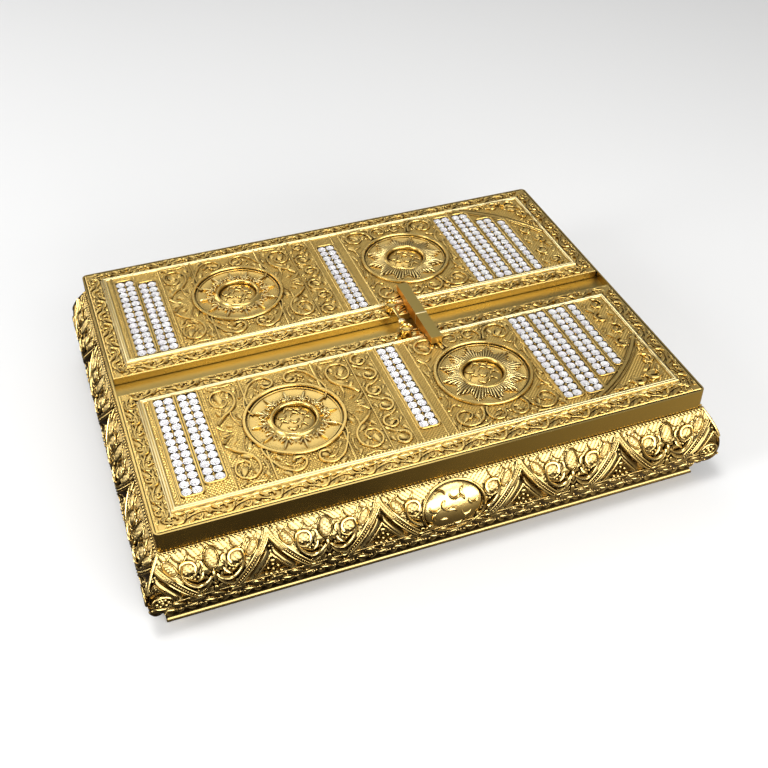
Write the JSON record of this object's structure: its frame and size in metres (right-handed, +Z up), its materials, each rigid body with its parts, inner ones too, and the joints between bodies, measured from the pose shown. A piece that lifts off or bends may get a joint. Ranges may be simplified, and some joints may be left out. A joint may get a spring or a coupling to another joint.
{
  "type": "quran box",
  "caption": "Low rectangular gilt presentation box with a hollow bulged body on a foot and a lift-off lid set with relief door leaves, stone strips and a lock bar.",
  "frame": {"origin": "on the surface the box stands on, under the middle of its foot", "axes": "+X along the length, towards the arched end of the leaves; +Y away from the front; +Z up"},
  "size_m": [0.3226, 0.2478, 0.0695],
  "materials": {
    "cast_gold": "gilt cast metal, bright on the raised ornament and dark in the hollows",
    "leaf_gold": "satin gilt relief with granulated ground",
    "polished_gold": "mirror-polished gilt metal",
    "clear_stone": "faceted clear stones in small gilt settings"
  },
  "bodies": {
    "root": {"box_body": "cast_gold", "lid": "polished_gold", "far_door_leaf": "leaf_gold", "near_door_leaf": "leaf_gold", "far_stones_1": "clear_stone", "far_stones_2": "clear_stone", "far_stones_3": "clear_stone", "far_stones_4": "clear_stone", "far_stones_5": "clear_stone", "far_stones_6": "clear_stone", "far_stones_7": "clear_stone", "near_stones_1": "clear_stone", "near_stones_2": "clear_stone", "near_stones_3": "clear_stone", "near_stones_4": "clear_stone", "near_stones_5": "clear_stone", "near_stones_6": "clear_stone", "near_stones_7": "clear_stone", "lock_bar": "polished_gold", "lock_rod": "polished_gold", "lock_staple_far": "polished_gold", "lock_staple_near": "polished_gold"}
  },
  "joints": []
}
